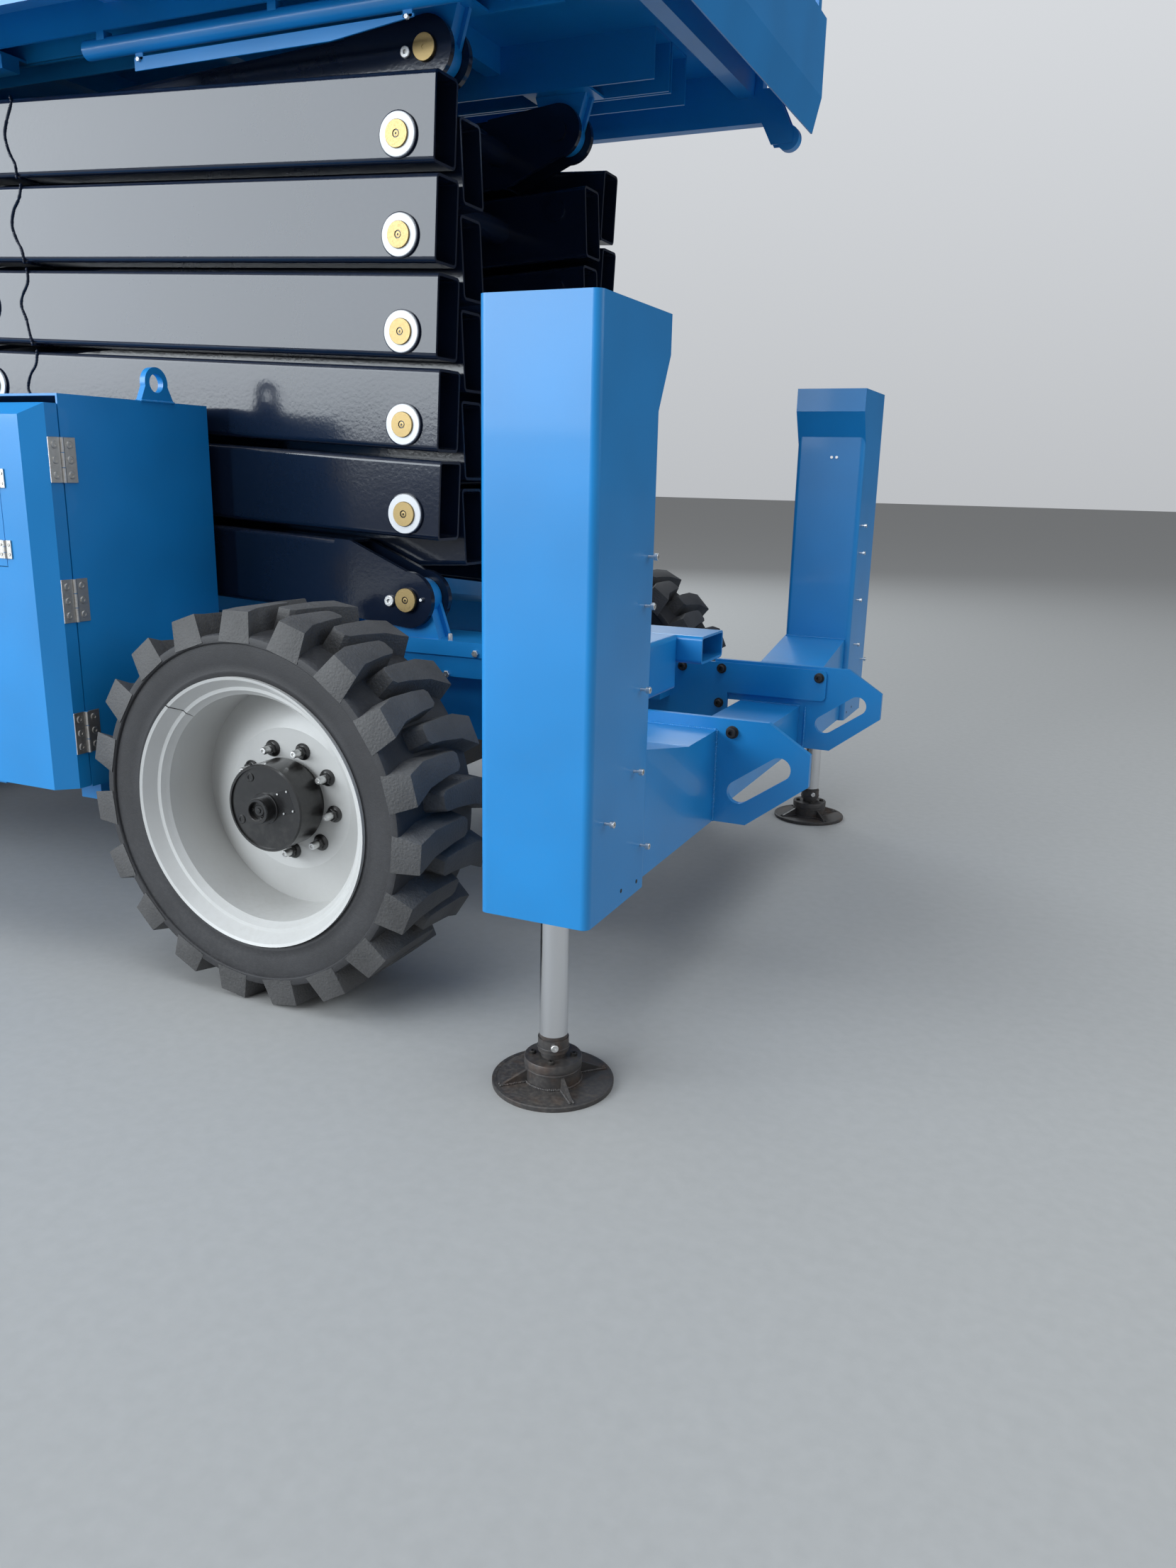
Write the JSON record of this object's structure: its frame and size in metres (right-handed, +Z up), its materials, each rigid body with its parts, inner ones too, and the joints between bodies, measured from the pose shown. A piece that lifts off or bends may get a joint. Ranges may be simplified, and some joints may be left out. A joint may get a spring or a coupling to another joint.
{
  "type": "rough-terrain scissor lift",
  "caption": "Self-propelled rough-terrain scissor lift with stacked box-tube arms, lug tyres, vertical jacks and a guard-railed deck.",
  "frame": {"origin": "on the ground, midway between the axles, on the centreline", "axes": "+X to the front (the fixed axle's end), +Y to the machine's left, +Z up"},
  "size_m": [5.822, 2.94, 3.986],
  "materials": {
    "blue_paint": "gloss two-coat enamel",
    "arm_paint": "high-gloss dark enamel",
    "rim_paint": "satin silver enamel",
    "hub_paint": "gloss black enamel",
    "tyre": "matt rubber",
    "dark_steel": "dark primer over cast and welded steel",
    "chrome": "hard chrome"
  },
  "bodies": {
    "chassis": {"chassis_frame": "blue_paint", "front_axle": "dark_steel", "rear_axle": "dark_steel", "outrigger_beams": "blue_paint", "jack_covers": "blue_paint", "jack_cylinders": "dark_steel", "tow_plates": "blue_paint", "right_side_box": "blue_paint", "left_side_box": "blue_paint", "engine_block": "dark_steel", "ladder": "blue_paint"},
    "outer_1": {"outer_arm_1": "arm_paint"},
    "inner_1": {"inner_arm_1": "arm_paint"},
    "outer_2": {"outer_arm_2": "arm_paint"},
    "inner_2": {"inner_arm_2": "arm_paint", "rod_lugs": "arm_paint"},
    "outer_3": {"outer_arm_3": "arm_paint"},
    "inner_3": {"inner_arm_3": "arm_paint"},
    "outer_4": {"outer_arm_4": "arm_paint"},
    "inner_4": {"inner_arm_4": "arm_paint"},
    "outer_5": {"outer_arm_5": "arm_paint"},
    "inner_5": {"inner_arm_5": "arm_paint"},
    "outer_6": {"outer_arm_6": "arm_paint"},
    "inner_6": {"inner_arm_6": "arm_paint"},
    "platform": {"platform_frame": "blue_paint", "platform_rail_left": "blue_paint", "platform_rail_right": "blue_paint", "platform_rail_rear": "blue_paint"},
    "extension": {"extension_deck": "blue_paint", "extension_rail_left": "blue_paint", "extension_rail_right": "blue_paint", "extension_rail_front": "blue_paint", "control_box": "blue_paint"},
    "gate": {"entry_gate": "blue_paint"},
    "lift_barrel": {"lift_barrels": "dark_steel"},
    "lift_rod": {"lift_rods": "chrome"},
    "knuckle_right": {"knuckle_right": "dark_steel"},
    "knuckle_left": {"knuckle_left": "dark_steel"},
    "steering_rod": {"steering_rod": "chrome"},
    "wheel_front_right": {"tyre_front_right": "tyre", "rim_front_right": "rim_paint", "hub_front_right": "hub_paint"},
    "jack_front_right": {"jack_leg_front_right": "chrome"},
    "right_door_front": {"right_door_front": "blue_paint"},
    "wheel_front_left": {"tyre_front_left": "tyre", "rim_front_left": "rim_paint", "hub_front_left": "hub_paint"},
    "jack_front_left": {"jack_leg_front_left": "chrome"},
    "left_door_front": {"left_door_front": "blue_paint"},
    "wheel_rear_right": {"tyre_rear_right": "tyre", "rim_rear_right": "rim_paint", "hub_rear_right": "hub_paint"},
    "jack_rear_right": {"jack_leg_rear_right": "chrome"},
    "right_door_rear": {"right_door_rear": "blue_paint"},
    "wheel_rear_left": {"tyre_rear_left": "tyre", "rim_rear_left": "rim_paint", "hub_rear_left": "hub_paint"},
    "jack_rear_left": {"jack_leg_rear_left": "chrome"},
    "left_door_rear": {"left_door_rear": "blue_paint"},
    "right_hatch": {"right_hatch": "blue_paint"}
  },
  "joints": [
    {"name": "scissor_lift", "type": "hinge", "parent": "chassis", "child": "outer_1", "pos_m": [1.665, 0, 1.075], "axis": [0, 1, 0], "range_deg": [0, 55.6]},
    {"name": "inner_1_fold", "type": "hinge", "parent": "outer_1", "child": "inner_1", "pos_m": [0, 0, 1.2025], "axis": [0, -1, 0], "range_deg": [0, 111.2]},
    {"name": "outer_2_fold", "type": "hinge", "parent": "inner_1", "child": "outer_2", "pos_m": [1.665, 0, 1.33], "axis": [0, 1, 0], "range_deg": [0, 111.2]},
    {"name": "inner_2_fold", "type": "hinge", "parent": "outer_2", "child": "inner_2", "pos_m": [0, 0, 1.4575], "axis": [0, -1, 0], "range_deg": [0, 111.2]},
    {"name": "outer_3_fold", "type": "hinge", "parent": "inner_2", "child": "outer_3", "pos_m": [1.665, 0, 1.585], "axis": [0, 1, 0], "range_deg": [0, 111.2]},
    {"name": "inner_3_fold", "type": "hinge", "parent": "outer_3", "child": "inner_3", "pos_m": [0, 0, 1.7125], "axis": [0, -1, 0], "range_deg": [0, 111.2]},
    {"name": "outer_4_fold", "type": "hinge", "parent": "inner_3", "child": "outer_4", "pos_m": [1.665, 0, 1.84], "axis": [0, 1, 0], "range_deg": [0, 111.2]},
    {"name": "inner_4_fold", "type": "hinge", "parent": "outer_4", "child": "inner_4", "pos_m": [0, 0, 1.9675], "axis": [0, -1, 0], "range_deg": [0, 111.2]},
    {"name": "outer_5_fold", "type": "hinge", "parent": "inner_4", "child": "outer_5", "pos_m": [1.665, 0, 2.095], "axis": [0, 1, 0], "range_deg": [0, 111.2]},
    {"name": "inner_5_fold", "type": "hinge", "parent": "outer_5", "child": "inner_5", "pos_m": [0, 0, 2.2225], "axis": [0, -1, 0], "range_deg": [0, 111.2]},
    {"name": "outer_6_fold", "type": "hinge", "parent": "inner_5", "child": "outer_6", "pos_m": [1.665, 0, 2.35], "axis": [0, 1, 0], "range_deg": [0, 111.2]},
    {"name": "inner_6_fold", "type": "hinge", "parent": "outer_6", "child": "inner_6", "pos_m": [0, 0, 2.4775], "axis": [0, -1, 0], "range_deg": [0, 111.2]},
    {"name": "platform_level", "type": "hinge", "parent": "inner_6", "child": "platform", "pos_m": [1.665, 0, 2.605], "axis": [0, 1, 0], "range_deg": [0, 55.6]},
    {"name": "extension_slide", "type": "slide", "parent": "platform", "child": "extension", "axis": [1, 0, 0], "range_m": [0, 1.2]},
    {"name": "gate_swing", "type": "hinge", "parent": "platform", "child": "gate", "pos_m": [-2.365, 0.335, 3.4], "axis": [0, 0, 1], "range_deg": [0, 90]},
    {"name": "lift_barrel_tilt", "type": "hinge", "parent": "inner_1", "child": "lift_barrel", "pos_m": [0.61924, 0, 1.23316], "axis": [0, 1, 0], "range_deg": [0, 122.41]},
    {"name": "lift_rod_slide", "type": "slide", "parent": "lift_barrel", "child": "lift_rod", "axis": [-0.9974, 0, 0.072], "range_m": [0, 0.5103]},
    {"name": "steer_right", "type": "hinge", "parent": "chassis", "child": "knuckle_right", "pos_m": [-1.568, -0.85, 0.55], "axis": [0, 0, 1], "range_deg": [-25, 25]},
    {"name": "steer_left", "type": "hinge", "parent": "chassis", "child": "knuckle_left", "pos_m": [-1.568, 0.85, 0.55], "axis": [0, 0, 1], "range_deg": [-25, 25]},
    {"name": "steering_rod_slide", "type": "slide", "parent": "chassis", "child": "steering_rod", "axis": [0, 1, 0], "range_m": [-0.075, 0.075]},
    {"name": "spin_front_right", "type": "hinge", "parent": "chassis", "child": "wheel_front_right", "pos_m": [1.568, -1.1075, 0.55], "axis": [0, 1, 0], "continuous": true},
    {"name": "jack_slide_front_right", "type": "slide", "parent": "chassis", "child": "jack_front_right", "axis": [0, 0, 1], "range_m": [-0.25, 0.33]},
    {"name": "right_door_front_swing", "type": "hinge", "parent": "chassis", "child": "right_door_front", "pos_m": [0.978, -1.254, 1.09], "axis": [0, 0, 1], "range_deg": [0, 65]},
    {"name": "spin_front_left", "type": "hinge", "parent": "chassis", "child": "wheel_front_left", "pos_m": [1.568, 1.1075, 0.55], "axis": [0, 1, 0], "continuous": true},
    {"name": "jack_slide_front_left", "type": "slide", "parent": "chassis", "child": "jack_front_left", "axis": [0, 0, 1], "range_m": [-0.25, 0.33]},
    {"name": "left_door_front_swing", "type": "hinge", "parent": "chassis", "child": "left_door_front", "pos_m": [0.978, 1.254, 1.09], "axis": [0, 0, -1], "range_deg": [0, 65]},
    {"name": "spin_rear_right", "type": "hinge", "parent": "knuckle_right", "child": "wheel_rear_right", "pos_m": [-1.568, -1.1075, 0.55], "axis": [0, 1, 0], "continuous": true},
    {"name": "jack_slide_rear_right", "type": "slide", "parent": "chassis", "child": "jack_rear_right", "axis": [0, 0, 1], "range_m": [-0.25, 0.33]},
    {"name": "right_door_rear_swing", "type": "hinge", "parent": "chassis", "child": "right_door_rear", "pos_m": [-0.885, -1.254, 1.09], "axis": [0, 0, -1], "range_deg": [0, 65]},
    {"name": "spin_rear_left", "type": "hinge", "parent": "knuckle_left", "child": "wheel_rear_left", "pos_m": [-1.568, 1.1075, 0.55], "axis": [0, 1, 0], "continuous": true},
    {"name": "jack_slide_rear_left", "type": "slide", "parent": "chassis", "child": "jack_rear_left", "axis": [0, 0, 1], "range_m": [-0.25, 0.33]},
    {"name": "left_door_rear_swing", "type": "hinge", "parent": "chassis", "child": "left_door_rear", "pos_m": [-0.885, 1.254, 1.09], "axis": [0, 0, 1], "range_deg": [0, 65]},
    {"name": "right_hatch_swing", "type": "hinge", "parent": "right_door_front", "child": "right_hatch", "pos_m": [0.832, -1.3476, 1.315], "axis": [0, 0, 1], "range_deg": [0, 100]}
  ],
  "couplings": [
    {"joint": "inner_1_fold", "follows": "scissor_lift", "ratio": 2},
    {"joint": "outer_2_fold", "follows": "scissor_lift", "ratio": 2},
    {"joint": "inner_2_fold", "follows": "scissor_lift", "ratio": 2},
    {"joint": "outer_3_fold", "follows": "scissor_lift", "ratio": 2},
    {"joint": "inner_3_fold", "follows": "scissor_lift", "ratio": 2},
    {"joint": "outer_4_fold", "follows": "scissor_lift", "ratio": 2},
    {"joint": "inner_4_fold", "follows": "scissor_lift", "ratio": 2},
    {"joint": "outer_5_fold", "follows": "scissor_lift", "ratio": 2},
    {"joint": "inner_5_fold", "follows": "scissor_lift", "ratio": 2},
    {"joint": "outer_6_fold", "follows": "scissor_lift", "ratio": 2},
    {"joint": "inner_6_fold", "follows": "scissor_lift", "ratio": 2},
    {"joint": "platform_level", "follows": "scissor_lift", "ratio": 1},
    {"joint": "lift_barrel_tilt", "follows": "scissor_lift", "ratio": 2.1927},
    {"joint": "lift_rod_slide", "follows": "scissor_lift", "m_per_rad": 0.5207},
    {"joint": "steer_left", "follows": "steer_right", "ratio": 1},
    {"joint": "steering_rod_slide", "follows": "steer_right", "m_per_rad": 0.17}
  ]
}
